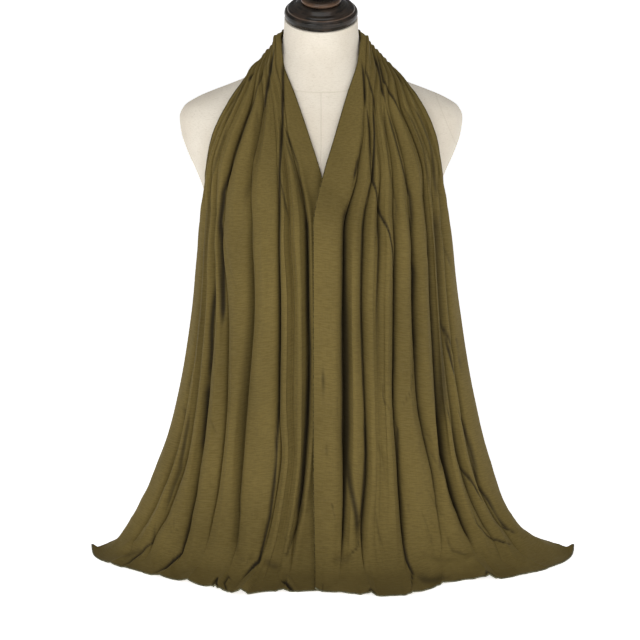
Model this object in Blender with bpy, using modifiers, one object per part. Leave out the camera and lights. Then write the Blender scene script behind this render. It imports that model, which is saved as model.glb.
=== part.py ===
"""A long jersey headscarf hung round the neck of a limbless dress form that stands on its flat base.

Metres, +Z up, front towards -Y. The origin is the middle of the form's base, on the surface it stands on.
The scarf is one sheet, worked out from sections across it, from the nape to the hem on each side, and from
the creases that run down it. It is cut into three stretches: the neck wrap and the two falls.
"""

import math

import bmesh
import bpy
import numpy as np
from mathutils import Matrix, Vector
from mathutils.bvhtree import BVHTree

MM = 0.001
WALL = 1.2 * MM  # thickness of the cloth
CLOTH_CLEARANCE = 3.2 * MM  # least distance from the form to the cloth's outer face
FLOOR_CLEARANCE = 0.3 * MM

# The dress form, from its base to the foot of the neck, in mm.
FORM_COLUMNS = ("height", "half_width", "front", "back", "squareness")
FORM_SECTIONS = (
    (0, 160, 108, 112, 2.2),
    (50, 166, 114, 120, 2.2),
    (120, 158, 112, 116, 2.2),
    (190, 132, 100, 98, 2.2),
    (245, 117, 90, 82, 2.2),
    (300, 122, 96, 86, 2.2),
    (360, 134, 108, 98, 2.3),
    (420, 144, 122, 106, 2.3),
    (450, 148, 123, 108, 2.3),
    (490, 156, 115, 110, 2.3),
    (518, 166, 106, 108, 2.3),
    (545, 178, 98, 104, 2.2),
    (570, 186, 88, 98, 2.1),
    (590, 188, 80, 90, 2.0),
    (604, 182, 74, 82, 1.9),
    (616, 164, 69, 76, 1.85),
    (627, 138, 64, 71, 1.8),
    (637, 110, 60, 68, 1.8),
    (647, 86, 57, 65, 1.9),
    (657, 68, 55, 62, 2.0),
)
# The neck, from its foot to its flat top, in mm and degrees. It leans forward.
NECK_COLUMNS = ("height", "centre_y", "radius", "lean")
NECK_SECTIONS = (
    (672, 3, 54, 5),
    (688, -2, 50.5, 11),
    (704, -7, 49, 15),
    (722, -12, 48, 18),
)
FORM_SIDES = 36
FORM_RINGS_PER_ROW = 1.5

# Radius and height of the turned cap's outline over the top of the neck, in mm, from the top down.
CAP_OUTLINE = (
    (0, 22.6), (24, 22.6), (28, 21.8), (33, 20.8), (38, 19.2), (42, 16.8), (43.6, 14.8),
    (44.2, 13.6), (46.4, 12.4), (47.8, 10.0), (48.2, 7.4), (47.7, 4.8), (46.7, 2.4), (45.4, 0.3),
    (0, 0.3),
)
KNOB_OUTLINE = (
    (0, 66), (6, 65.4), (11.6, 63.2), (16.2, 59.2), (18.9, 53.8), (19.4, 48), (17.8, 42.4),
    (14.4, 37.8), (12.6, 34.6), (12.6, 32.4), (15, 31.0), (21.5, 29.8), (25.2, 28.0), (26.2, 25.8),
    (25.0, 23.6), (22, 22.9), (0, 22.9),
)
TURNED_SIDES = 32

# Sections across the scarf, from the nape to the hem, in mm. The in edge is the one at the neck, the out edge
# the one over the shoulder, and x is counted outwards from the middle on each side. fold is the depth of
# the deepest creases, lie and right_lie the height of the gathered cloth and of the right inner edge over
# the form, wrap the turn past the side, in degrees, and round how far the section is a quarter of an ellipse
# and not a straight line.
SECTION_COLUMNS = (
    "name", "in_y", "in_z", "out_y", "out_z", "left_in", "left_out", "right_in", "right_out",
    "fold", "lie", "right_lie", "wrap", "round",
)
SECTIONS = (
    ("nape", 54, 693, 84, 620, 0, 0, 0, 0, 9, 11, 1.9, 0, 0),
    ("nape_side", 37, 700, 56, 632, 39, 72, 39, 73, 10, 11, 2.6, 0, 0),
    ("ridge", 10, 703, 5, 653, 51, 90, 51, 96, 8, 12, 2.4, 0, 0),
    ("neck", -27, 664, -36, 635, 48.5, 108, 46.7, 117, 10, 13, 4, 0, 0),
    ("collar", -66, 626, -57, 611, 33, 124.5, 33, 134, 13, 14, 4.5, 0, 0.2),
    ("shoulder", -92, 572, -66, 574, 13.5, 142, 16, 150, 15, 15, 7, 0, 0.5),
    ("vee", -112, 531, -62, 524, 0, 152, 3, 159, 18, 16, 10, 0, 0.8),
    ("bust", -142, 468, -36, 446, -12, 160, -10, 171, 24, 14, 12, 6, 1),
    ("ribs", -148, 375, -30, 346, -13, 169.5, -10, 183, 28, 12, 12, 12, 1),
    ("waist", -146, 247, -30, 214, -13, 192, -10, 206, 28, 12, 12, 12, 1),
    ("hip", -146, 158, -32, 122, -12, 220, -10, 229, 26, 12, 12, 12, 1),
    ("foot", -152, 60, -38, 40, -9, 259, -9, 265, 18, 12, 12, 8, 1),
    ("floor", -175, 16, -46, 14, -3, 293, -8, 316, 10, 12, 12, 4, 1),
    ("hem", -216, 10, -54, 9, -2, 314, -8, 346, 8, 12, 12, 0, 1),
)
SECTION_NAMES = [row[0] for row in SECTIONS]

# The creases, from the inner edge outwards. share is where one lies at the nape and over the ridge, from 0 at
# the in edge to 1 at the out edge, and the next columns its distance from the middle at each section, in mm.
# Then its depth as a share of fold round the neck, over the chest, at the waist and at the foot, its open gap
# over the chest and below it, and how far it tucks under the fold inside it, all in mm.
CREASE_COLUMNS = (
    "share", "collar", "shoulder", "vee", "bust", "ribs", "waist", "hip", "foot", "hem",
    "depth_neck", "depth_top", "depth_mid", "depth_low", "gap_top", "gap_mid", "lap",
)
LEFT_CREASES = (
    (0.14, 48, 41, 29.6, 19.9, 18, 17.6, 21, 34.4, 49, 0.9, 0.9, 1.0, 0.9, 1.5, 6.0, 0),
    (0.24, 55, 49, 44, 42.4, 37.5, 39, 38, 51.6, 77, 0.15, 0.5, 0.25, 0.2, 5, 9, 0),
    (0.34, 62, 57, 55, 56, 54.3, 56.2, 54, 70, 104, 0.2, 1.0, 1.0, 1.0, 1.5, 2.2, 3),
    (0.45, 74, 80, 88.8, 92.5, 90.7, 100.6, 107, 112.4, 139, 1.1, 0.8, 0.8, 0.8, 3, 5, 5),
    (0.56, 89, 105, 118, 131, 126, 128, 135, 150, 176, 0.6, 1.0, 1.0, 0.6, 1.8, 4, 0),
    (0.67, 103, 121, 132, 141, 142, 154, 166, 180, 214, 0.9, 0.9, 1.0, 1.0, 1.5, 2.2, 3),
    (0.78, 111, 129, 140, 149, 155, 170, 188, 222, 252, 0.4, 0.7, 0.6, 0.9, 2, 4, 0),
    (0.89, 118, 136, 147, 155.5, 163.5, 181, 205, 244, 284, 0.6, 0.6, 0.6, 0.8, 2, 3, 2),
)
RIGHT_CREASES = (
    (0.14, 55, 53, 45.7, 31.2, 31, 32, 31.6, 29, 22, 0.9, 0.9, 0.9, 0.5, 1.5, 9, 2),
    (0.24, 61.5, 62, 64.9, 55.3, 53.6, 57.9, 60.5, 52.9, 65, 0.15, 1.0, 1.0, 1.0, 1.8, 2.0, 3),
    (0.34, 68, 71.5, 75, 75.8, 74, 77, 80, 79, 91, 0.8, 0.5, 0.12, 0.1, 3, 8, 0),
    (0.45, 76, 84.6, 91.2, 96.4, 96.5, 96, 102.6, 109.8, 119, 0.2, 1.0, 1.0, 1.0, 1.8, 2.6, 3),
    (0.56, 86, 98, 108.8, 119.5, 123.6, 129.3, 148, 160, 160, 1.1, 0.9, 1.0, 0.9, 1.5, 3.0, 3),
    (0.67, 101, 118, 132, 142, 148, 158, 169, 198, 222, 0.8, 0.8, 0.8, 0.8, 3, 9, 0),
    (0.78, 113, 130, 143, 152, 160, 174, 190, 226, 268, 0.7, 0.9, 0.7, 0.8, 1.5, 3, 3),
    (0.89, 124, 141, 152, 162, 170, 188, 207, 248, 305, 0.3, 0.7, 0.6, 0.8, 2, 3, 2),
)
# How far the hem lies forward of an even curve, over each share of the way from the in edge to the out edge.
LEFT_REACH = ((0, 0), (0.2, 4), (0.34, 22), (0.46, 4), (0.58, -6), (0.7, -10), (0.8, -14), (0.93, -8), (1, 0))
RIGHT_REACH = ((0, 0), (0.1, 8), (0.31, 24), (0.4, 13), (0.48, -7), (0.56, -15), (0.68, -2), (0.8, -1), (1, 0))
CROWN = 2.5 * MM  # how far the middle of a fold stands out
DEPTH_PER_SPACING = 0.85  # greatest depth of a crease, for each metre that two creases are more apart than
TIGHTEST = 4.6 * MM  # this distance
LIP_DEPTH = 0.42  # depth of a crease's two lips, as a share of its own
SHOULDER_DEPTH = 0.10
SHOULDER_WIDTH = 4.5 * MM
EDGE_LIE = 3.6 * MM  # height of the scarf's two edges over the form
LEFT_TUCK = 12 * MM  # how far the left inner edge lies behind the right one, below the V
RIGHT_LIFT = 2.5 * MM  # how far the right inner edge stands out over it
RIGHT_RISE = 4 * MM  # height of the right inner edge over the left one, on the floor
OUT_TUCK = 6 * MM
ROWS_PER_SECTION = 2
END_STRIP = 0.05  # length of the last strip of faces at each end, in sections
SEAM = 0.012  # in sections, which leaves a gap between two stretches


def rising_cubic(knots, values, at):
    """Values at the given places, on a cubic through the knots that never overshoots them."""
    knots = np.asarray(knots, float)
    values = np.asarray(values, float)
    step = np.diff(knots)
    slope = np.diff(values) / step
    tangent = np.zeros(len(knots))
    for i in range(1, len(knots) - 1):
        if slope[i - 1] * slope[i] > 0:
            ahead = 2 * step[i] + step[i - 1]
            behind = step[i] + 2 * step[i - 1]
            tangent[i] = (ahead + behind) / (ahead / slope[i - 1] + behind / slope[i])
    tangent[0] = slope[0]
    tangent[-1] = slope[-1]
    at = np.clip(np.asarray(at, float), knots[0], knots[-1])
    i = np.clip(np.searchsorted(knots, at, side="right") - 1, 0, len(step) - 1)
    t = (at - knots[i]) / step[i]
    h = step[i]
    return (
        values[i] * (1 + 2 * t) * (1 - t) ** 2
        + tangent[i] * h * t * (1 - t) ** 2
        + values[i + 1] * t * t * (3 - 2 * t)
        - tangent[i + 1] * h * t * t * (1 - t)
    )


def column(table, columns, name):
    """One named column of a table, as numbers."""
    return np.array([row[columns.index(name)] for row in table], float)


def new_material(name, colour, roughness, metallic=0.0):
    material = bpy.data.materials.new(name)
    material.use_nodes = True
    shader = material.node_tree.nodes["Principled BSDF"]
    shader.inputs["Base Color"].default_value = (*colour, 1)
    shader.inputs["Roughness"].default_value = roughness
    shader.inputs["Metallic"].default_value = metallic
    return material


def add_object(name, mesh, material, collection):
    mesh.materials.append(material)
    obj = bpy.data.objects.new(name, mesh)
    collection.objects.link(obj)
    return obj


def form_rings():
    """Rings of points up the dress form, from the base to the top of the neck."""
    heights = column(FORM_SECTIONS, FORM_COLUMNS, "height")
    count = int(len(heights) * FORM_RINGS_PER_ROW)
    picks = np.interp(np.linspace(0, len(heights) - 1, count), np.arange(len(heights)), heights)
    turn = np.arange(FORM_SIDES) * 2 * math.pi / FORM_SIDES
    cos = np.cos(turn)
    sin = np.sin(turn)
    rings = []
    for z in picks:
        half_width, front, back, squareness = (
            float(rising_cubic(heights, column(FORM_SECTIONS, FORM_COLUMNS, name), z))
            for name in FORM_COLUMNS[1:]
        )
        depth = np.where(sin < 0, front, back)
        x = half_width * np.sign(cos) * np.abs(cos) ** (2 / squareness)
        y = depth * np.sign(sin) * np.abs(sin) ** (2 / squareness)
        rings.append(np.stack([x, y, np.full(FORM_SIDES, z)], axis=1) * MM)
    for height, centre_y, radius, lean in NECK_SECTIONS:
        tilt = math.radians(lean)
        y = centre_y + radius * sin * math.cos(tilt)
        z = height + radius * sin * math.sin(tilt)
        rings.append(np.stack([radius * cos, y, z], axis=1) * MM)
    return np.array(rings)


def make_form(collection, material):
    """The dress form: a closed loft from the base to the top of the neck."""
    rings = form_rings()
    shape = bmesh.new()
    loops = [[shape.verts.new(p) for p in ring] for ring in rings]
    for low, high in zip(loops, loops[1:]):
        for i in range(FORM_SIDES):
            j = (i + 1) % FORM_SIDES
            shape.faces.new((low[i], low[j], high[j], high[i]))
    shape.faces.new(loops[0][::-1])
    shape.faces.new(loops[-1])
    mesh = bpy.data.meshes.new("dress_form")
    shape.to_mesh(mesh)
    shape.free()
    mesh.shade_smooth()
    mesh.set_sharp_from_angle(angle=math.radians(50))
    return add_object("dress_form", mesh, material, collection)


def neck_top():
    """The frame at the top of the neck: its middle, and +Z along the neck."""
    height, centre_y, _, lean = NECK_SECTIONS[-1]
    turn = Matrix.Rotation(math.radians(lean), 4, "X")
    return Matrix.Translation(Vector((0, centre_y, height)) * MM) @ turn


def make_turned(name, outline, material, collection):
    """A turned piece over the top of the neck, from its outline."""
    mesh = bpy.data.meshes.new(name)
    points = [(r * MM, 0, h * MM) for r, h in outline]
    edges = [(i, i + 1) for i in range(len(points) - 1)]
    mesh.from_pydata(points, edges, [])
    obj = add_object(name, mesh, material, collection)
    screw = obj.modifiers.new("turn", "SCREW")
    screw.steps = TURNED_SIDES
    screw.render_steps = TURNED_SIDES
    screw.use_merge_vertices = True
    screw.merge_threshold = 0.00001
    screw.use_smooth_shade = True
    obj.matrix_world = neck_top()
    return obj


def crease_places(creases, side):
    """Each crease's place at each section, from 0 at the in edge to 1 at the out edge."""
    inner = column(SECTIONS, SECTION_COLUMNS, side + "_in")
    outer = column(SECTIONS, SECTION_COLUMNS, side + "_out")
    measured = CREASE_COLUMNS[1:10]
    places = []
    for row in creases:
        value = dict(zip(CREASE_COLUMNS, row))
        value["floor"] = (value["foot"] + value["hem"]) / 2
        line = []
        for i, name in enumerate(SECTION_NAMES):
            if name in measured or name == "floor":
                line.append((value[name] - inner[i]) / (outer[i] - inner[i]))
            else:
                line.append(value["share"])
        places.append(line)
    return np.array(places)


class Scarf:
    """The scarf as one sheet. Its long way is u, in sections from the nape: below 0 to the left hem, above 0 to
    the right one. Its short way is the turn from the in edge, at 0, to the out edge."""

    def __init__(self, form):
        graph = bpy.context.evaluated_depsgraph_get()
        self.form = BVHTree.FromObject(form, graph)
        last = len(SECTIONS) - 1
        self.knots = np.arange(-last, last + 1)
        self.values = {}
        for name in SECTION_COLUMNS[1:]:
            if name.startswith(("left", "right_in", "right_out")):
                continue
            half = column(SECTIONS, SECTION_COLUMNS, name)
            self.values[name] = np.concatenate([half[:0:-1], half])
        for edge in ("in", "out"):
            left = column(SECTIONS, SECTION_COLUMNS, "left_" + edge)
            right = column(SECTIONS, SECTION_COLUMNS, "right_" + edge)
            self.values[edge + "_x"] = np.concatenate([-left[:0:-1], right])
        left = crease_places(LEFT_CREASES, "left")
        right = crease_places(RIGHT_CREASES, "right")
        self.places = np.concatenate([left[:, :0:-1], right], axis=1)
        self.looks = self.crease_looks()

    def crease_looks(self):
        """Depth share, gap and lap of each crease at each section."""
        stops = [0, SECTION_NAMES.index("vee"), SECTION_NAMES.index("waist"), SECTION_NAMES.index("hem")]
        depth_stops = [0, SECTION_NAMES.index("collar"), *stops[1:]]
        steps = np.arange(len(SECTIONS))
        looks = []
        for left, right in zip(LEFT_CREASES, RIGHT_CREASES):
            halves = []
            for row in (left, right):
                value = dict(zip(CREASE_COLUMNS, row))
                top, middle, low = value["depth_top"], value["depth_mid"], value["depth_low"]
                neck = value["depth_neck"]
                depth = np.interp(steps, depth_stops, (neck, neck, top, middle, low))
                gap = np.interp(steps, stops, (1.2, value["gap_top"], value["gap_mid"], value["gap_top"]))
                lap = np.interp(steps, stops, (0, value["lap"], value["lap"], value["lap"]))
                halves.append(np.array([depth, gap * MM, lap * MM]))
            looks.append(np.concatenate([halves[0][:, :0:-1], halves[1]], axis=1))
        return np.array(looks)

    def at(self, name, u):
        return float(rising_cubic(self.knots, self.values[name], u))

    def smooth_point(self, u, turn):
        """A point of the sheet before it is folded and lifted off the form."""
        share = turn / (math.pi / 2)
        curve = self.at("round", u)
        along = share + (math.sin(turn) - share) * curve
        back = share + (1 - math.cos(turn) - share) * curve
        start = np.array([self.at("in_" + axis, u) for axis in "xyz"])
        end = np.array([self.at("out_" + axis, u) for axis in "xyz"])
        point = start + (end - start) * np.array([along, back, along])
        shares, reach = np.array(LEFT_REACH if u < 0 else RIGHT_REACH).T
        low = (abs(u) - SECTION_NAMES.index("hip")) / (self.knots[-1] - SECTION_NAMES.index("hip"))
        point[1] -= rising_cubic(shares, reach, along) * max(low, 0) ** 1.5
        return point * MM

    def normal(self, u, turn, step=0.02):
        down = self.smooth_point(u + step, turn) - self.smooth_point(u - step, turn)
        across = self.smooth_point(u, turn + step) - self.smooth_point(u, turn - step)
        normal = np.cross(down, across)
        return normal / np.linalg.norm(normal)

    def lifted(self, point, way, least):
        """The point moved along way until it lies at least this far from the form."""
        point = Vector(point)
        for _ in range(8):
            place, normal, _, distance = self.form.find_nearest(point)
            if (point - place).dot(normal) < 0:
                distance = -distance
            if distance >= least - 0.01 * MM:
                break
            point = point + Vector(way) * (least - distance)
        return np.array(point)

    def cover_point(self, u, turn):
        """A point of the gathered cloth's outer envelope, and the way out of it."""
        share = min(1.0, turn / (math.pi / 2))
        inner_lie = self.at("right_lie", u) * MM
        if u < -SECTION_NAMES.index("ridge"):
            inner_lie = min(inner_lie, EDGE_LIE)
        top_lie = self.at("lie", u) * MM
        rise_in = min(1.0, 6 * share)
        rise_out = min(1.0, 6 * (1 - share) + 0.0)
        low = inner_lie + (top_lie - inner_lie) * rise_in
        outer_lie = min(inner_lie, EDGE_LIE)
        least = outer_lie + (low - outer_lie) * rise_out
        normal = self.normal(u, turn)
        return self.lifted(self.smooth_point(u, turn), normal, least), normal

    def room(self, point, normal):
        """How deep a crease can go here before it meets the form."""
        hit = self.form.ray_cast(Vector(point), Vector(-normal), 0.08)
        if hit[0] is None:
            return 1.0
        return max(0.0, hit[3] - CLOTH_CLEARANCE)

    def floor_share(self, u):
        """0 where the cloth hangs, 1 where it lies on the floor."""
        foot = SECTION_NAMES.index("foot")
        return min(1.0, max(0.0, (abs(u) - foot) / 1.5))

    def profile(self, u):
        """The folds across the sheet at u: turn and height over the envelope, one crease after another."""
        places = [float(rising_cubic(self.knots, line, u)) for line in self.places]
        steps = np.linspace(0, math.pi / 2, 60)
        shares = steps / (math.pi / 2)
        along = shares + (np.sin(steps) - shares) * self.at("round", u)
        turns = [float(np.interp(min(0.99, max(0.01, place)), along, steps)) for place in places]
        last_turn = math.pi / 2 + math.radians(self.at("wrap", u))
        stops = [0.0, *turns, last_turn]
        fold = self.at("fold", u) * MM
        flat = self.floor_share(u)
        below_vee = min(1.0, max(0.0, abs(u) - SECTION_NAMES.index("vee") + 0.6))
        edge, crest = (LEFT_TUCK, LEFT_TUCK / 2) if u < 0 else (-RIGHT_LIFT, -RIGHT_LIFT)
        rise = RIGHT_RISE * flat if u > 0 else 0
        hung = below_vee * (1 - flat)
        profile = [(0.0, rise - edge * hung - fold * flat)]
        profile.append((stops[1] / 2, -crest * hung - fold * flat))
        for k, turn in enumerate(turns):
            point, normal = self.cover_point(u, turn)
            speed = np.linalg.norm(self.smooth_point(u, turn + 0.01) - self.smooth_point(u, turn - 0.01))
            speed = max(speed / 0.02, 0.01)
            before = (turn - stops[k]) * speed
            after = (stops[k + 2] - turn) * speed
            share, gap, lap = (
                float(rising_cubic(self.knots, line, u)) for line in self.looks[k]
            )
            wanted = fold * share
            spacing = min(before, after)
            deepest = DEPTH_PER_SPACING * max(spacing - TIGHTEST, 0)
            depth = min(wanted, deepest, self.room(point, normal))
            lap = min(lap * depth / max(wanted, MM) * (1 - flat), 0.15 * spacing)
            lip = min(gap / 2, 0.18 * spacing)
            shoulder_in = lip + min(SHOULDER_WIDTH, 0.2 * before)
            shoulder_out = lip + min(SHOULDER_WIDTH, 0.2 * after)
            profile += [
                (turn - shoulder_in / speed, -SHOULDER_DEPTH * depth),
                (turn - lip / speed, -LIP_DEPTH * depth),
                (turn - lap / speed, -depth),
                (turn + lip / speed, -(LIP_DEPTH + 0.12) * depth),
                (turn + shoulder_out / speed, -SHOULDER_DEPTH * depth),
            ]
            crest = (turn + stops[k + 2]) / 2
            crown = min(CROWN, 0.1 * after)
            profile.append((crest, crown * (1 - flat) - fold * flat))
        tuck = OUT_TUCK * min(1.0, max(0.0, abs(u) - SECTION_NAMES.index("vee")))
        profile.append((last_turn, -tuck * (1 - flat) - fold * flat))
        return profile

    def row(self, u):
        """The points of the folded sheet across u."""
        points = []
        for turn, height in self.profile(u):
            place, normal = self.cover_point(u, turn)
            point = place + normal * height
            if height < 0:
                point = self.lifted(point, normal, CLOTH_CLEARANCE)
            point[2] = max(point[2], WALL + FLOOR_CLEARANCE)
            points.append(point)
        return points


def make_stretch(name, scarf, start, end, material, collection):
    """A stretch of the scarf between two places along it, as a wall of cloth."""
    count = round(abs(end - start) * ROWS_PER_SECTION) + 1
    stops = list(np.linspace(start, end, count))
    stops[1:1] = [start + END_STRIP]
    stops[-1:-1] = [end - END_STRIP]
    count = len(stops)
    rows = [scarf.row(u) for u in stops]
    across = len(rows[0])
    points = [p for row in rows for p in row]
    faces = []
    for i in range(count - 1):
        for j in range(across - 1):
            a = i * across + j
            faces.append((a, a + across, a + across + 1, a + 1))
    mesh = bpy.data.meshes.new(name)
    mesh.from_pydata(points, [], faces)
    mesh.shade_smooth()
    obj = add_object(name, mesh, material, collection)
    wall = obj.modifiers.new("wall", "SOLIDIFY")
    wall.thickness = WALL
    wall.offset = -1
    return obj


def main():
    for obj in list(bpy.data.objects):
        bpy.data.objects.remove(obj)
    collection = bpy.data.collections.new("headscarf on a dress form")
    bpy.context.scene.collection.children.link(collection)

    linen = new_material("linen", (0.74, 0.68, 0.57), 0.85)
    dark_wood = new_material("dark_wood", (0.02, 0.016, 0.012), 0.3)
    jersey = new_material("jersey", (0.16, 0.12, 0.042), 0.9)

    form = make_form(collection, linen)
    make_turned("neck_cap", CAP_OUTLINE, dark_wood, collection)
    make_turned("cap_knob", KNOB_OUTLINE, dark_wood, collection)
    bpy.context.view_layer.update()

    scarf = Scarf(form)
    ridge = SECTION_NAMES.index("ridge")
    hem = SECTION_NAMES.index("hem")
    make_stretch("scarf_left_fall", scarf, -hem, -ridge - SEAM, jersey, collection)
    make_stretch("scarf_neck_wrap", scarf, -ridge, ridge, jersey, collection)
    make_stretch("scarf_right_fall", scarf, ridge + SEAM, hem, jersey, collection)


main()
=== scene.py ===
"""A long olive jersey headscarf hung round the neck of a linen dress form with a dark turned wooden cap.

The scarf is one sheet of cloth. Sections across it, from the nape to the hem on each side, and the creases
that run down it give its shape, and finer folds, wrinkles and the overlocked edge are added here.
"""

import math

import bpy
import numpy as np
from mathutils import Matrix, Vector, noise
from mathutils.bvhtree import BVHTree


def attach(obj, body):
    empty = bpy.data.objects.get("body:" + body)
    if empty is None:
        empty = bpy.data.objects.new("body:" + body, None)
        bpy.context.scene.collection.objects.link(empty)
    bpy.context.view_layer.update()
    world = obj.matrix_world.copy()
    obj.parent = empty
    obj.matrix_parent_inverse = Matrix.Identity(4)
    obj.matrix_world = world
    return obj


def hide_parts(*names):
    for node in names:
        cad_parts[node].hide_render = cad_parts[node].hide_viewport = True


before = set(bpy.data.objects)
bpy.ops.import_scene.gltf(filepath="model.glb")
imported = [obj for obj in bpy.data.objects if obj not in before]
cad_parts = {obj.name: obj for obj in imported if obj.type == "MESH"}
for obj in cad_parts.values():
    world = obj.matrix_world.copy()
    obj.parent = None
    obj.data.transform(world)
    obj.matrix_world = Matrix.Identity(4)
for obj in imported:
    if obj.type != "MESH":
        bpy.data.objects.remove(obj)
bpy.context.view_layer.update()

MM = 0.001
WALL = 0.8 * MM
CLEARANCE = 2.0 * MM  # least distance from the form to the cloth's outer face
FLOOR_CLEARANCE = 0.3 * MM

# The dress form, from its base to the foot of the neck, in mm.
FORM_COLUMNS = ("height", "half_width", "front", "back", "squareness")
FORM_SECTIONS = (
    (0, 160, 108, 112, 2.2),
    (50, 166, 114, 120, 2.2),
    (120, 158, 112, 116, 2.2),
    (190, 132, 100, 98, 2.2),
    (245, 117, 90, 82, 2.2),
    (300, 122, 96, 86, 2.2),
    (360, 134, 108, 98, 2.3),
    (420, 144, 122, 106, 2.3),
    (450, 148, 123, 108, 2.3),
    (490, 156, 115, 110, 2.3),
    (518, 166, 106, 108, 2.3),
    (545, 178, 98, 104, 2.2),
    (570, 186, 88, 98, 2.1),
    (590, 188, 80, 90, 2.0),
    (604, 182, 74, 82, 1.9),
    (616, 164, 69, 76, 1.85),
    (627, 138, 64, 71, 1.8),
    (637, 110, 60, 68, 1.8),
    (647, 86, 57, 65, 1.9),
    (657, 68, 55, 62, 2.0),
)
# The neck, from its foot to its flat top, in mm and degrees. It leans forward.
NECK_SECTIONS = (
    (672, 3, 54, 5),
    (688, -2, 50.5, 11),
    (704, -7, 49, 15),
    (722, -12, 48, 18),
)
# Radius and height of the turned cap's outline over the top of the neck, in mm, from the top down.
CAP_OUTLINE = (
    (0, 22.6), (24, 22.6), (27, 22.3), (30, 21.4), (33, 19.8), (35.4, 18.2), (36.6, 17.6), (38.4, 17.5),
    (40.4, 17.1), (42.4, 16), (43.8, 14.4), (44.2, 13.2), (44.6, 12.7), (46.2, 12.1), (47.6, 10.4),
    (48.2, 7.6), (47.7, 4.8), (46.7, 2.4), (45.4, 0.3), (0, 0.3),
)
KNOB_OUTLINE = (
    (0, 66), (6, 65.4), (11.6, 63.2), (16.2, 59.2), (18.9, 53.8), (19.4, 48), (17.8, 42.4),
    (14.4, 37.8), (12.6, 34.6), (12.6, 32.4), (15, 31.0), (21.5, 29.8), (25.2, 28.0), (26.2, 25.8),
    (25.0, 23.6), (22, 22.9), (0, 22.9),
)

# Sections across the scarf, from the nape to the hem, in mm. The in edge is the one at the neck, the out edge
# the one over the shoulder, and x is counted outwards from the middle on each side. fold is the depth of
# the deepest creases, lie and right_lie the height of the gathered cloth and of the right inner edge over
# the form, wrap the turn past the side, in degrees, and round how far the section is a quarter of an ellipse
# and not a straight line.
SECTION_COLUMNS = (
    "name", "in_y", "in_z", "out_y", "out_z", "left_in", "left_out", "right_in", "right_out",
    "fold", "lie", "right_lie", "wrap", "round",
)
SECTIONS = (
    ("nape", 54, 693, 84, 620, 0, 0, 0, 0, 9, 11, 1.9, 0, 0),
    ("nape_side", 37, 700, 56, 632, 39, 72, 39, 73, 10, 11, 2.6, 0, 0),
    ("ridge", 10, 703, 5, 653, 51, 90, 51, 96, 8, 12, 2.4, 0, 0),
    ("neck", -27, 664, -36, 635, 48.5, 108, 46.7, 117, 10, 13, 4, 0, 0),
    ("collar", -66, 626, -57, 611, 33, 124.5, 33, 134, 13, 14, 4.5, 0, 0.2),
    ("shoulder", -92, 572, -66, 574, 13.5, 142, 16, 150, 15, 15, 7, 0, 0.5),
    ("vee", -112, 531, -62, 524, 0, 152, 3, 159, 18, 16, 10, 0, 0.8),
    ("bust", -142, 468, -36, 446, -12, 160, -10, 171, 24, 14, 12, 6, 1),
    ("ribs", -148, 375, -30, 346, -13, 169.5, -10, 183, 28, 12, 12, 12, 1),
    ("waist", -146, 247, -30, 214, -13, 192, -10, 206, 28, 12, 12, 12, 1),
    ("hip", -146, 158, -32, 122, -12, 220, -10, 229, 26, 12, 12, 12, 1),
    ("foot", -152, 60, -38, 40, -9, 259, -9, 265, 18, 12, 12, 8, 1),
    ("floor", -175, 16, -46, 14, -3, 293, -8, 316, 10, 12, 12, 4, 1),
    ("hem", -216, 10, -54, 9, -2, 314, -8, 346, 8, 12, 12, 0, 1),
)
NAMES = [row[0] for row in SECTIONS]
RIDGE, COLLAR, VEE = NAMES.index("ridge"), NAMES.index("collar"), NAMES.index("vee")
WAIST, HIP, FOOT, HEM = NAMES.index("waist"), NAMES.index("hip"), NAMES.index("foot"), NAMES.index("hem")

# The creases, from the inner edge outwards. share is where one lies at the nape and over the ridge, from 0 at
# the in edge to 1 at the out edge, and the next columns its distance from the middle at each section, in mm.
# Then its depth as a share of fold round the neck, over the chest, at the waist and at the foot, its open gap
# over the chest and below it, and how far it tucks under the fold inside it, all in mm. ruffle is how far it
# stands up as a ruffle where the cloth lies on the floor.
CREASE_COLUMNS = (
    "share", "collar", "shoulder", "vee", "bust", "ribs", "waist", "hip", "foot", "hem",
    "depth_neck", "depth_top", "depth_mid", "depth_low", "gap_top", "gap_mid", "lap", "ruffle",
)
LEFT_CREASES = (
    (0.14, 48, 41, 29.6, 19.9, 18, 17.6, 21, 34.4, 49, 0.9, 0.9, 1.0, 0.9, 1.5, 6.0, 0, 0.5),
    (0.24, 55, 49, 44, 42.4, 37.5, 39, 38, 51.6, 77, 0.15, 0.5, 0.25, 0.2, 5, 9, 0, 0),
    (0.34, 62, 57, 55, 56, 54.3, 56.2, 54, 70, 104, 0.2, 1.0, 1.0, 1.0, 1.5, 2.2, 3, 1),
    (0.45, 74, 80, 88.8, 92.5, 90.7, 100.6, 107, 112.4, 139, 1.1, 0.8, 0.8, 0.8, 3, 5, 5, 0.6),
    (0.56, 89, 105, 118, 131, 126, 128, 135, 150, 176, 0.6, 1.0, 0.45, 0.1, 1.8, 4, 0, 0.4),
    (0.67, 103, 121, 132, 141, 142, 154, 166, 180, 214, 0.9, 0.9, 1.0, 1.0, 1.5, 2.2, 3, 0.45),
    (0.78, 111, 129, 140, 149, 155, 170, 188, 222, 252, 0.4, 0.7, 0.6, 0.9, 2, 4, 0, 0),
    (0.89, 118, 136, 147, 155.5, 163.5, 181, 205, 244, 284, 0.6, 0.6, 0.6, 0.8, 2, 3, 2, 0.3),
)
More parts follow.
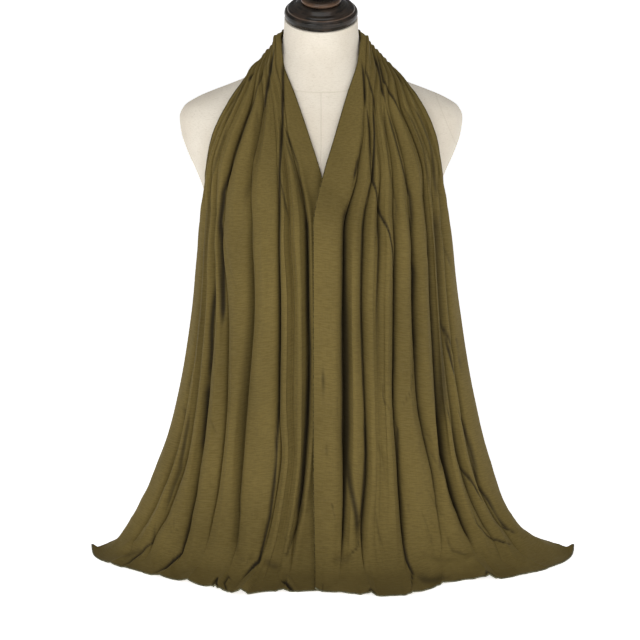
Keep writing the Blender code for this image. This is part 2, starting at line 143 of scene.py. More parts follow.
RIGHT_CREASES = (
    (0.14, 55, 53, 45.7, 31.2, 31, 32, 31.6, 29, 22, 0.9, 0.9, 0.9, 0.5, 1.5, 9, 2, 0.1),
    (0.24, 61.5, 62, 64.9, 55.3, 53.6, 57.9, 60.5, 52.9, 65, 0.15, 1.0, 1.0, 1.0, 1.8, 2.0, 3, 0.7),
    (0.34, 68, 71.5, 75, 75.8, 74, 77, 80, 79, 91, 0.8, 0.5, 0.12, 0.1, 3, 8, 0, 0),
    (0.45, 76, 84.6, 91.2, 96.4, 96.5, 96, 102.6, 109.8, 119, 0.2, 1.0, 1.0, 1.0, 1.8, 2.6, 3, 0.5),
    (0.56, 86, 98, 108.8, 119.5, 123.6, 129.3, 148, 160, 160, 1.1, 0.9, 0.6, 0.15, 1.5, 3.0, 3, 0.5),
    (0.67, 101, 118, 132, 142, 148, 158, 169, 198, 222, 0.8, 0.8, 0.8, 0.45, 3, 9, 0, 1),
    (0.78, 113, 130, 143, 152, 160, 174, 190, 226, 268, 0.7, 0.9, 0.7, 0.6, 1.5, 3, 3, 0.1),
    (0.89, 124, 141, 152, 162, 170, 188, 207, 248, 305, 0.3, 0.7, 0.6, 0.8, 2, 3, 2, 0.2),
)
# How far the hem lies forward of an even curve, over each share of the way from the in edge to the out edge.
LEFT_REACH = ((0, 0), (0.2, 4), (0.34, 22), (0.46, 4), (0.58, -6), (0.7, -10), (0.8, -14), (0.93, -8), (1, 0))
RIGHT_REACH = ((0, 0), (0.1, 8), (0.31, 24), (0.4, 13), (0.48, -7), (0.56, -15), (0.68, -2), (0.8, -1), (1, 0))
CROWN = 2.5 * MM  # how far the middle of a fold stands out
DEPTH_PER_SPACING = 0.85  # greatest depth of a crease, for each metre that two creases are more apart than
TIGHTEST = 3.5 * MM  # this distance
LIP_DEPTH = 0.42  # depth of a crease's two lips, as a share of its own
SHOULDER_DEPTH = 0.10
SHOULDER_WIDTH = 5.0 * MM
EDGE_LIE = 3.6 * MM  # height of the scarf's two edges over the form
LEFT_TUCK = 12 * MM  # how far the left inner edge lies behind the right one, below the V
RIGHT_LIFT = 2.5 * MM  # how far the right inner edge stands out over it
RIGHT_RISE = 4 * MM  # height of the right inner edge over the left one, on the floor
OUT_TUCK = 6 * MM
RUFFLE_LIP = 1.0 * MM  # how much wider a ruffle is than a crease, on the floor
RUFFLE_SHOULDER = 5.0 * MM
RUFFLE_CREASE = 0.12  # how much of the crease's depth is left in a ruffle
RUFFLE_ARCH = (1.0, 0.82, 0.3)  # its height in the middle, at its lips and at its shoulders
# On the floor the wrinkles also get more painted shade, by the same share.
FLOOR_CREASING = 0.5  # how much deeper the wrinkles press where the cloth lies on the floor
CURL = 7 * MM  # how far the hem's outer corners curl up
CURL_REACH = 11 * MM
CURL_ROWS = 0.3
ROWS_PER_SECTION = 16
LOOP_ROWS_PER_SECTION = 9
POINTS_PER_SPAN = 3
SEEN_FROM = math.radians(14)  # height of the view that the wrinkles are measured in, in front of the form
# Sharp and soft wrinkles between the creases: how deep each is, its half width, how much painted shade darkens it
# from 0 to 1, and its line, as millimetres to the right and up in that view. A depth below 0 is a ridge.
WRINKLE_COLUMNS = ("depth", "half_width", "shade", "line")
WRINKLES = (
    (4, 2.2, 0.9, (
        (-50, 651), (-50, 560), (-54, 492), (-55, 392), (-55, 290), (-56, 196), (-59, 139),
        (-62, 88), (-68, 41), (-82, -15), (-107, -34),
    )),
    (3, 1.6, 0.7, ((-50, 560), (-40, 530), (-31, 504), (-23, 459), (-19, 415))),
    (2, 1.5, 0.5, ((-50, 549), (-42, 521), (-36, 504), (-27, 464), (-23, 437))),
    (5, 3.2, 1.0, (
        (-22, 450), (-19, 415), (-18, 307), (-16, 263), (-17, 218), (-20, 158), (-26, 77),
        (-32, 33),
    )),
    (2.5, 1.6, 0.6, ((-55, 492), (-49, 465), (-44, 437), (-42, 428))),
    (1.5, 3.0, 0.25, ((-42, 428), (-36, 379), (-32, 328))),
    (2.5, 4.0, 0.35, ((-66, 629), (-73, 571), (-85, 505), (-96, 471), (-102, 438))),
    (2, 3.0, 0.3, ((-80, 587), (-84, 547), (-89, 505))),
    (2, 5.0, 0.35, (
        (-92, 438), (-93, 380), (-94, 290), (-98, 265), (-106, 171), (-111, 75), (-114, 16),
        (-113, -18),
    )),
    (3.5, 2.0, 0.9, (
        (-83, 599), (-96, 565), (-112, 521), (-128, 469), (-133, 427), (-133, 393), (-131, 327),
        (-131, 289),
    )),
    (2, 1.5, 0.5, ((-97, 558), (-107, 530), (-119, 494), (-126, 469))),
    (1.8, 2.4, 0.45, (
        (-117, 565), (-132, 522), (-145, 479), (-150, 440), (-158, 350), (-161, 303), (-168, 249),
        (-186, 194),
    )),
    (2, 2.2, 0.5, ((-96, 627), (-108, 597), (-124, 571))),
    (1.5, 2.0, 0.4, ((-98, 617), (-116, 577), (-131, 542))),
    (3, 1.5, 0.9, ((-137, 393), (-144, 327), (-147, 290), (-149, 258), (-154, 206))),
    (4.5, 2.8, 1.0, ((-152, 229), (-154, 206), (-159, 155), (-164, 112))),
    (3, 1.6, 0.8, ((-164, 112), (-170, 73), (-177, 35), (-189, -6), (-208, -21), (-227, -29))),
    (1.2, 1.6, 0.25, ((-128, 419), (-120, 374), (-108, 341), (-96, 315))),
    (1.2, 1.6, -0.1, ((-132, 426), (-122, 378), (-115, 341))),
    (1.5, 1.4, 0.5, ((-186, 194), (-186, 161))),
    (2, 1.4, 0.6, ((-175, 186), (-185, 133), (-192, 102), (-205, 65), (-216, 36))),
    (2, 1.6, 0.6, ((-222, 33), (-231, 4), (-241, -4), (-257, -16), (-273, -23))),
    (1.2, 1.6, 0.4, ((-146, 176), (-142, 160), (-137, 147))),
    (2.5, 1.5, 0.6, ((-19, 70), (-32, 29), (-40, 6), (-49, -15))),
    (1.6, 1.3, 0.4, ((-53, 20), (-48, 14), (-42, 6))),
    (1.6, 1.3, 0.4, ((-52, -6), (-45, -6), (-40, -8))),
    (1.2, 1.2, 0.4, ((-211, 35), (-201, 27), (-199, 18))),
    (1.2, 1.2, 0.4, ((-196, 38), (-196, 27), (-194, 18))),
    (1.2, 1.2, 0.4, ((-185, 27), (-192, 20), (-207, 15))),
    (1, 1.3, 0.25, ((-92, 143), (-84, 124), (-75, 103))),
    (1, 1.3, 0.25, ((-97, 57), (-91, 44), (-85, 34))),
    (1, 1.3, 0.2, ((-110, 52), (-108, 33), (-103, 18))),
    (1.8, 1.2, 0.7, ((2, 248), (4, 198), (5, 158), (8, 118))),
    (1.8, 1.2, 0.7, ((15, 118), (13, 64), (18, 43), (16, 31))),
    (1.2, 1.2, 0.3, ((21, 208), (22, 171))),
    (2, 1.4, 0.6, ((55, 580), (53, 543), (48, 500), (37, 461))),
    (3, 2.0, 0.9, ((50, 518), (46, 498), (41, 479))),
    (4, 4.5, 0.75, (
        (37, 461), (32, 436), (31, 414), (30, 372), (31, 251), (34, 197), (33, 144),
        (37, 91), (48, 38), (49, 5),
    )),
    (2.5, 1.5, 0.8, (
        (58, 586), (63, 543), (64, 500), (66, 482), (59, 456), (55, 426), (53, 382),
        (52, 319), (54, 276), (56, 218), (60, 157),
    )),
    (4, 2.6, 1.0, ((58, 184), (60, 124), (57, 76), (55, 52), (52, 21))),
    (2.5, 1.6, 0.6, ((52, 21), (48, 1), (32, -12))),
    (3, 1.7, 0.95, (
        (67, 587), (69, 543), (67, 482), (74, 457), (77, 440), (88, 414), (95, 389),
        (97, 351), (97, 251), (96, 217), (96, 176),
    )),
    (3, 1.8, 0.85, ((96, 176), (102, 157), (105, 75), (110, 28), (116, -14), (121, -26), (117, -45))),
    (1.8, 1.3, 0.55, ((77, 440), (74, 419), (67, 393))),
    (1.8, 1.5, 0.5, ((80, 587), (88, 501), (96, 466), (99, 447), (97, 414), (95, 389))),
    (3, 1.8, 0.8, ((84, 580), (97, 532), (106, 501), (117, 464), (120, 437), (121, 394))),
    (1.5, 1.3, 0.4, ((88, 581), (101, 532), (111, 499))),
    (4.5, 2.8, 1.0, ((121, 394), (124, 362), (124, 307), (126, 269), (125, 247))),
    (1.5, 1.4, 0.5, ((96, 176), (82, 196), (82, 229))),
    (1.8, 1.4, 0.5, ((125, 253), (118, 211), (100, 172))),
    (1.6, 1.4, 0.4, ((61, 342), (56, 332), (53, 320))),
    (1.8, 2.0, 0.5, ((102, 588), (119, 558), (132, 527), (139, 490), (143, 460))),
    (2.0, 2.0, 0.6, ((113, 588), (128, 565), (141, 533), (147, 502), (150, 468), (150, 451))),
    (3.0, 6.0, 0.6, ((150, 451), (153, 406), (157, 341), (160, 289), (163, 196), (161, 142), (158, 89))),
    (1.8, 1.3, 0.5, ((152, 448), (160, 417), (169, 384), (177, 353))),
    (2.4, 1.4, 0.8, ((157, 319), (163, 297), (172, 269), (177, 250))),
    (1.5, 2.4, 0.3, ((132, 427), (146, 373))),
    (2.6, 1.4, 0.85, (
        (165, 289), (174, 241), (188, 188), (207, 115), (216, 80), (233, 51), (251, 22),
        (276, 7),
    )),
    (2.6, 1.5, 0.85, ((164, 196), (180, 143), (188, 109), (205, 80), (220, 51))),
    (2.2, 1.4, 0.7, ((201, 51), (209, 27), (225, 13), (249, 3), (271, 1))),
    (2, 1.3, 0.6, ((178, 289), (185, 262), (188, 228))),
    (1.4, 1.3, 0.4, ((174, 202), (189, 162), (202, 113))),
    (1.6, 1.8, 0.35, ((126, 195), (138, 156), (155, 126))),
    (1.6, 1.8, 0.35, ((141, 137), (153, 113), (165, 88))),
    (1.6, 1.8, 0.35, ((137, 87), (154, 55), (171, 26))),
    (1.4, 1.5, 0.3, ((151, 79), (160, 66), (168, 59))),
    (1.4, 1.4, 0.4, ((171, 62), (180, 54), (188, 49))),
    (2, 2.5, 0.4, ((163, 26), (175, -5), (196, -9), (203, -1))),
    (-2.5, 5, 0.0, ((123, -11), (158, -20), (188, -20), (210, -9))),
    (2.5, 5, 0.35, ((120, -27), (144, -31), (173, -31))),
    (1.5, 1.6, 0.4, ((71, 58), (77, 18), (87, -8))),
    (1.5, 1.4, 0.35, ((37, 82), (45, 58), (49, 38))),
    (3, 1.9, 0.9, ((52, 646), (55, 627), (56, 612), (57, 593), (57, 580), (58, 570))),
    (2.5, 1.6, 0.8, ((56, 641), (57, 633), (62, 614), (68, 592), (70, 573), (71, 563))),
    (3, 1.8, 0.9, ((65, 662), (71, 646), (75, 633), (80, 599), (85, 576))),
    (2.5, 1.7, 0.85, ((71, 660), (76, 644), (82, 613), (92, 593), (102, 574), (110, 559))),
    (2, 1.5, 0.5, ((73, 659), (85, 648), (101, 623), (113, 599))),
    (3, 2.2, 0.95, ((-60, 666), (-65, 639), (-70, 606), (-74, 580), (-78, 561))),
    (2, 1.4, 0.65, ((-68, 651), (-77, 626), (-84, 601), (-89, 574))),
    (2, 1.4, 0.45, ((-72, 644), (-82, 611), (-92, 577), (-97, 558))),
    (2.2, 1.6, 0.8, ((-85, 629), (-92, 621), (-96, 612))),
    (0.5, 4.0, 0.25, ((-154, 512), (-159, 441), (-165, 329), (-176, 248))),
    (2.2, 1.5, 0.8, ((-140, -46), (-141, -37), (-137, -31), (-137, -38), (-133, -46))),
    (2, 1.5, 0.6, ((-121, -45), (-127, -36), (-123, -29), (-117, -33))),
    (2.4, 1.6, 0.8, ((-55, -30), (-47, -35), (-39, -41), (-29, -50))),
    (-2.5, 2.5, 0.0, ((-50, -29), (-41, -35), (-30, -44))),
    (2, 1.5, 0.6, ((59, -46), (65, -42), (73, -47))),
    (2, 1.6, 0.6, ((152, -35), (161, -41), (172, -37), (187, -31))),
    (2, 1.6, 0.6, ((213, -35), (220, -28), (228, -30), (234, -40))),
    (2.5, 6, 0.3, ((12, -15), (32, -10), (45, -14))),
    (-3, 7, 0.0, ((-4, 5), (18, -2), (41, 5))),
    (2, 4, 0.3, ((-271, -11), (-254, -7), (-236, -5))),
    (-2, 4, 0.0, ((-276, -4), (-256, 2), (-236, 4))),
    (2.5, 5, 0.35, ((-78, -9), (-67, -17), (-50, -22))),
    (-2.5, 6, 0.0, ((-107, -10), (-91, -17), (-78, -15))),
    (1.6, 2.4, 0.3, ((71, 158), (82, 117), (87, 77))),
    (-1.5, 3, 0.0, ((140, 36), (156, 2), (166, -12))),
    (1.8, 2, 0.35, ((129, 57), (145, 16), (154, -12))),
    (1.5, 2, 0.3, ((106, 104), (115, 57), (126, 16))),
    (1.2, 1.6, 0.3, ((25, 38), (32, 14), (41, -4))),
    (1.2, 1.6, 0.3, ((-8, 25), (1, 5), (12, -10))),
    (1.2, 1.4, 0.3, ((-87, 5), (-92, -10), (-103, -23))),
)
WIDTH = 0.42  # the flat scarf


def rising_cubic(knots, values, at):
    """Values at the given places, on a cubic through the knots that never overshoots them."""
    knots = np.asarray(knots, float)
    values = np.asarray(values, float)
    step = np.diff(knots)
    slope = np.diff(values) / step
    tangent = np.zeros(len(knots))
    inner = slope[:-1] * slope[1:] > 0
    ahead = 2 * step[1:] + step[:-1]
    behind = step[1:] + 2 * step[:-1]
    safe = np.where(slope == 0, 1, slope)
    tangent[1:-1] = np.where(inner, (ahead + behind) / (ahead / safe[:-1] + behind / safe[1:]), 0)
    tangent[0] = slope[0]
    tangent[-1] = slope[-1]
    at = np.clip(np.asarray(at, float), knots[0], knots[-1])
    i = np.clip(np.searchsorted(knots, at, side="right") - 1, 0, len(step) - 1)
    h = step[i]
    t = (at - knots[i]) / h
    return (
        values[i] * (1 + 2 * t) * (1 - t) ** 2
        + tangent[i] * h * t * (1 - t) ** 2
        + values[i + 1] * t * t * (3 - 2 * t)
        - tangent[i + 1] * h * t * t * (1 - t)
    )


def column(table, columns, name):
    return np.array([row[columns.index(name)] for row in table], float)


def ramp(value, start, end):
    """0 before start, 1 after end, smooth between them."""
    t = np.clip((np.asarray(value, float) - start) / (end - start), 0, 1)
    return t * t * (3 - 2 * t)


def wander(x, y, seed):
    """Smooth noise from -1 to 1."""
    return noise.noise(Vector((x, y, seed * 17.3)))


# ---- materials


class Shader:
    """Builds one procedural material."""

    def __init__(self, name):
        self.material = bpy.data.materials.new(name)
        self.material.use_nodes = True
        self.tree = self.material.node_tree
        self.surface = self.tree.nodes["Principled BSDF"]

    def node(self, kind, **values):
        node = self.tree.nodes.new(kind)
        for key, value in values.items():
            if hasattr(node, key):
                setattr(node, key, value)
            else:
                node.inputs[key.replace("_", " ")].default_value = value
        return node

    def link(self, source, target):
        self.tree.links.new(source, target)

    def set(self, **values):
        for key, value in values.items():
            self.surface.inputs[key.replace("_", " ")].default_value = value

    def coordinates(self, kind, scale):
        place = self.node("ShaderNodeTexCoord")
        mapping = self.node("ShaderNodeMapping")
        mapping.inputs["Scale"].default_value = scale
        self.link(place.outputs[kind], mapping.inputs["Vector"])
        return mapping.outputs["Vector"]

    def noise(self, kind, scale, detail=3.0, roughness=0.5):
        texture = self.node("ShaderNodeTexNoise", Scale=1.0, Detail=detail, Roughness=roughness)
        self.link(self.coordinates(kind, scale), texture.inputs["Vector"])
        return texture.outputs["Fac"]

    def math(self, operation, first, second=None, third=None, clamp=False):
        node = self.node("ShaderNodeMath", operation=operation, use_clamp=clamp)
        for i, value in enumerate((first, second, third)):
            if value is None:
                continue
            if isinstance(value, (int, float)):
                node.inputs[i].default_value = value
            else:
                self.link(value, node.inputs[i])
        return node.outputs[0]

    def spread(self, value, low, high, to_low=0.0, to_high=1.0):
        node = self.node("ShaderNodeMapRange", interpolation_type="SMOOTHSTEP")
        self.link(value, node.inputs["Value"])
        for key, number in zip(("From Min", "From Max", "To Min", "To Max"), (low, high, to_low, to_high)):
            node.inputs[key].default_value = number
        return node.outputs["Result"]

    def mix(self, share, first, second):
        node = self.node("ShaderNodeMix", data_type="RGBA")
        for socket, value in ((node.inputs[0], share), (node.inputs[6], first), (node.inputs[7], second)):
            if isinstance(value, (int, float)):
                socket.default_value = value
            elif isinstance(value, tuple):
                socket.default_value = (*value, 1)
            else:
                self.link(value, socket)
        return node.outputs[2]

    def bump(self, height, strength, distance, below=None):
        node = self.node("ShaderNodeBump", Strength=strength, Distance=distance)
        self.link(height, node.inputs["Height"])
        if below is not None:
            self.link(below, node.inputs["Normal"])
        return node.outputs["Normal"]


def jersey_material():
    """Fine single jersey: matt, with faint slubs across the cloth, fine wales along it and painted shade in its
    creases.
    """
    s = Shader("olive_jersey")
    blotch = s.noise("Object", (9, 9, 5), 2)
    slub = s.noise("UV", (30, 520, 1), 3, 0.6)
    long_slub = s.noise("UV", (16, 420, 1), 2, 0.6)
    wale = s.noise("UV", (900, 60, 1), 2, 0.5)
    grain = s.noise("UV", (90, 620, 1), 2, 0.7)
    fuzz = s.noise("Object", (1500, 1500, 1500), 1)
    colour = s.mix(s.spread(blotch, 0.3, 0.7), (0.118, 0.084, 0.0205), (0.156, 0.112, 0.029))
    colour = s.mix(s.spread(slub, 0.56, 0.74, 0, 0.22), colour, (0.082, 0.058, 0.019))
    colour = s.mix(s.spread(long_slub, 0.58, 0.76, 0, 0.13), colour, (0.21, 0.16, 0.055))
    colour = s.mix(s.spread(wale, 0.35, 0.75, 0, 0.16), colour, (0.075, 0.055, 0.018))
    colour = s.mix(s.spread(grain, 0.42, 0.62, 0, 0.20), colour, (0.075, 0.052, 0.012))
    colour = s.mix(s.spread(grain, 0.60, 0.38, 0, 0.11), colour, (0.24, 0.185, 0.065))
    # Painted shade: deep creases and wrinkles are darkened nearly to black, standing in for the shade that falls in
    # them.
    painted_crease_shade = s.node("ShaderNodeAttribute", attribute_name="painted_crease_shade").outputs["Fac"]
    colour = s.mix(s.spread(painted_crease_shade, 0.05, 1.0, 0, 0.93), colour, (0.012, 0.008, 0.003))
    s.link(colour, s.surface.inputs["Base Color"])
    s.link(s.spread(slub, 0.3, 0.7, 0.78, 0.92), s.surface.inputs["Roughness"])
    knit = s.math("MULTIPLY_ADD", slub, 1.0, s.math("MULTIPLY", wale, 0.6))
    knit = s.math("MULTIPLY_ADD", fuzz, 0.5, knit)
    s.link(s.bump(knit, 0.28, 0.0006), s.surface.inputs["Normal"])
    s.set(Sheen_Weight=0.16, Sheen_Roughness=0.4, Sheen_Tint=(0.55, 0.44, 0.18, 1))
    s.surface.inputs["Specular IOR Level"].default_value = 0.25
    return s.material


def edge_material(name, dark, pale):
    """The overlocked edge: close loops of thread."""
    s = Shader(name)
    loops = s.noise("Object", (420, 420, 420), 1)
    colour = s.mix(s.spread(loops, 0.35, 0.65), dark, pale)
    s.link(colour, s.surface.inputs["Base Color"])
    s.link(s.bump(loops, 0.6, 0.001), s.surface.inputs["Normal"])
    s.set(Roughness=0.9)
    s.surface.inputs["Specular IOR Level"].default_value = 0.15
    return s.material


def near(s, value, half_width):
    """1 on the line where value is 0, falling to 0 at half_width."""
    return s.spread(s.math("ABSOLUTE", value), 0, half_width, 1, 0)


def linen_material():
    """Cream linen stretched over the form, with its seams."""
    s = Shader("cream_linen")
    weft = s.noise("Object", (240, 240, 1500), 2, 0.6)
    warp = s.noise("Object", (1500, 1500, 200), 2, 0.6)
    flecks = s.noise("Object", (380, 380, 620), 1)
    shade = s.noise("Object", (14, 14, 9), 3)
    colour = s.mix(s.spread(shade, 0.3, 0.7), (0.735, 0.66, 0.545), (0.815, 0.75, 0.64))
    colour = s.mix(s.spread(weft, 0.48, 0.72, 0, 0.36), colour, (0.55, 0.475, 0.36))
    colour = s.mix(s.spread(warp, 0.5, 0.78, 0, 0.25), colour, (0.56, 0.485, 0.37))
    colour = s.mix(s.spread(flecks, 0.72, 0.82, 0, 0.5), colour, (0.42, 0.33, 0.22))
    place = s.node("ShaderNodeTexCoord")
    axes = s.node("ShaderNodeSeparateXYZ")
    s.link(place.outputs["Object"], axes.inputs["Vector"])
    x, y, z = axes.outputs
    ring = s.math("SUBTRACT", s.math("SUBTRACT", z, 0.656), s.math("MULTIPLY", y, 0.4))
    below = s.spread(ring, -0.0006, 0.0, 1, 0)
    middle = s.math("MULTIPLY", near(s, x, 0.0011), below)
    flank = s.math("MULTIPLY", near(s, s.math("SUBTRACT", y, 0.004), 0.0011), s.spread(z, 0.5, 0.51, 1, 0))
    cap = s.math("SUBTRACT", s.math("MULTIPLY_ADD", z, 0.42, x), 0.412)
    cap = s.math("MULTIPLY", near(s, cap, 0.0010), s.spread(z, 0.515, 0.53))
    seam = s.math("MAXIMUM", near(s, ring, 0.0012), s.math("MAXIMUM", middle, s.math("MAXIMUM", flank, cap)))
    colour = s.mix(s.math("MULTIPLY", seam, 0.2), colour, (0.5, 0.42, 0.31))
    s.link(colour, s.surface.inputs["Base Color"])
    weave = s.math("ADD", weft, warp)
    fine = s.bump(weave, 0.22, 0.0006)
    s.link(s.bump(s.math("SUBTRACT", 1.0, seam), 0.4, 0.001, fine), s.surface.inputs["Normal"])
    s.set(Roughness=0.88, Sheen_Weight=0.12)
    return s.material


def wood_material():
    """Dark stained and varnished wood, worn to brown on the ring and the edges."""
    s = Shader("dark_turned_wood")
    grain = s.noise("Object", (60, 60, 900), 4, 0.6)
    shade = s.noise("Object", (45, 45, 45), 3)
    place = s.node("ShaderNodeTexCoord")
    axes = s.node("ShaderNodeSeparateXYZ")
    s.link(place.outputs["Object"], axes.inputs["Vector"])
    height = axes.outputs[2]
    colour = s.mix(s.spread(grain, 0.4, 0.65), (0.010, 0.009, 0.008), (0.03, 0.024, 0.018))
    ring = near(s, s.math("SUBTRACT", height, 0.0264), 0.0046)
    step = near(s, s.math("SUBTRACT", height, 0.0140), 0.0012)
    worn = s.math("MULTIPLY", s.math("MAXIMUM", ring, s.math("MULTIPLY", step, 0.6)), s.spread(shade, 0.3, 0.6, 0.5, 1))
    colour = s.mix(worn, colour, (0.15, 0.085, 0.05))
    colour = s.mix(s.spread(shade, 0.46, 0.66, 0, 0.5), colour, (0.055, 0.036, 0.025))
    s.link(colour, s.surface.inputs["Base Color"])
    s.link(s.spread(shade, 0.3, 0.7, 0.25, 0.4), s.surface.inputs["Roughness"])
    s.link(s.bump(grain, 0.06, 0.0004), s.surface.inputs["Normal"])
    s.set(Coat_Weight=0.3, Coat_Roughness=0.14)
    s.surface.inputs["Specular IOR Level"].default_value = 0.12
    return s.material


def floor_material():
    s = Shader("white_paper")
    fibre = s.noise("Object", (60, 60, 60), 2)
    s.link(s.mix(s.spread(fibre, 0.3, 0.7), (0.93, 0.93, 0.93), (0.95, 0.95, 0.95)), s.surface.inputs["Base Color"])
    s.link(s.spread(fibre, 0.3, 0.7, 0.74, 0.76), s.surface.inputs["Emission Strength"])
    s.set(Roughness=0.9, Emission_Color=(1, 1, 1, 1))
    s.surface.inputs["Specular IOR Level"].default_value = 0.1
    return s.material


# ---- meshes


def add_piece(name, points, faces, material):
    mesh = bpy.data.meshes.new(name)
    mesh.from_pydata([tuple(p) for p in points], [], faces)
    mesh.materials.append(material)
    mesh.shade_smooth()
    obj = bpy.data.objects.new(name, mesh)
    bpy.context.scene.collection.objects.link(obj)
    return obj


def grid_faces(rows, across, closed=False):
    faces = []
    for i in range(rows - 1):
        for j in range(across if closed else across - 1):
            a = i * across + j
            b = i * across + (j + 1) % across
            faces.append((a, a + across, b + across, b) if not closed else (a, b, b + across, a + across))
    return faces


def make_form(material):
    """The dress form, as one smooth closed loft."""
    sides = 128
    heights = column(FORM_SECTIONS, FORM_COLUMNS, "height")
    picks = np.interp(np.linspace(0, len(heights) - 1, 96), np.arange(len(heights)), heights)
    turn = np.arange(sides) * 2 * math.pi / sides
    cos, sin = np.cos(turn), np.sin(turn)
    shape = {name: rising_cubic(heights, column(FORM_SECTIONS, FORM_COLUMNS, name), picks) for name in FORM_COLUMNS}
    rings = []
    for i, z in enumerate(picks):
        depth = np.where(sin < 0, shape["front"][i], shape["back"][i])
        power = 2 / shape["squareness"][i]
        x = shape["half_width"][i] * np.sign(cos) * np.abs(cos) ** power
        y = depth * np.sign(sin) * np.abs(sin) ** power
        rings.append(np.stack([x, y, np.full(sides, z)], axis=1))
    base = rings[-1]
    neck = []
    for height, centre_y, radius, lean in NECK_SECTIONS:
        tilt = math.radians(lean)
        y = centre_y + radius * sin * math.cos(tilt)
        neck.append(np.stack([radius * cos, y, height + radius * sin * math.sin(tilt)], axis=1))
    knots = np.arange(len(neck) + 1)
    stack = np.array([base, *neck])
    for t in np.linspace(0, len(neck), 25)[1:]:
        i = min(int(t), len(neck) - 1)
        f = t - i
        before = stack[max(i - 1, 0)]
        after = stack[min(i + 2, len(neck))]
        a, b = stack[i], stack[i + 1]
        ring = a + 0.5 * f * ((b - before) + f * ((2 * before - 5 * a + 4 * b - after) + f * (3 * (a - b) + after - before)))
        rings.append(ring)
    stack = np.array(rings)
    soft = np.flatnonzero((stack[:, 0, 2] > 628) & (stack[:, 0, 2] < 704))
    for _ in range(40):
        stack[soft] = (stack[soft - 1] + 2 * stack[soft] + stack[soft + 1]) / 4
    rings = list(stack)
    last = rings[-1]
    middle = last.mean(axis=0)
    rings.append(middle + (last - middle) * 0.97)
    first = rings[0].copy()
    first[:, :2] *= 0.985
    rings.insert(0, first)
    rings[1] = rings[1] + np.array([0, 0, 1.6])
    points = np.concatenate(rings) * MM
    faces = grid_faces(len(rings), sides, closed=True)
    faces.append(tuple(range(sides))[::-1])
    faces.append(tuple(range((len(rings) - 1) * sides, len(rings) * sides)))
    return add_piece("form_linen", points, faces, material)


def neck_top():
    height, centre_y, _, lean = NECK_SECTIONS[-1]
    turn = Matrix.Rotation(math.radians(lean), 4, "X")
    return Matrix.Translation(Vector((0, centre_y, height)) * MM) @ turn


def make_turned(name, outline, material):
    """A turned piece on top of the neck, with its outline rounded."""
    sides = 96
    outline = np.array(outline, float)
    length = np.concatenate([[0], np.cumsum(np.linalg.norm(np.diff(outline, axis=0), axis=1))])
    at = np.unique(np.concatenate([length, np.linspace(0, length[-1], 90)]))
    radius = rising_cubic(length, outline[:, 0], at)
    height = rising_cubic(length, outline[:, 1], at)
    turn = np.arange(sides) * 2 * math.pi / sides
    rings = [
        np.stack([r * np.cos(turn), r * np.sin(turn), np.full(sides, h)], axis=1)
        for r, h in zip(radius[1:-1], height[1:-1])
    ]
    points = list(np.concatenate(rings) * MM)
    faces = [face[::-1] for face in grid_faces(len(rings), sides, closed=True)]
    points.append(np.array([0, 0, height[0]]) * MM)
    points.append(np.array([0, 0, height[-1]]) * MM)
    top, bottom = len(points) - 2, len(points) - 1
    start = (len(rings) - 1) * sides
    for j in range(sides):
        k = (j + 1) % sides
        faces.append((top, j, k))
        faces.append((bottom, start + k, start + j))
    obj = add_piece(name, points, faces, material)
    obj.matrix_world = neck_top()
    return obj


def crease_places(creases, side):
    inner = column(SECTIONS, SECTION_COLUMNS, side + "_in")
    outer = column(SECTIONS, SECTION_COLUMNS, side + "_out")
    measured = CREASE_COLUMNS[1:10]
    places = []
    for row in creases:
        value = dict(zip(CREASE_COLUMNS, row))
        value["floor"] = (value["foot"] + value["hem"]) / 2
        line = []
        for i, name in enumerate(NAMES):
            if name in measured or name == "floor":
                line.append((value[name] - inner[i]) / (outer[i] - inner[i]))
            else:
                line.append(value["share"])
        places.append(line)
    return np.array(places)


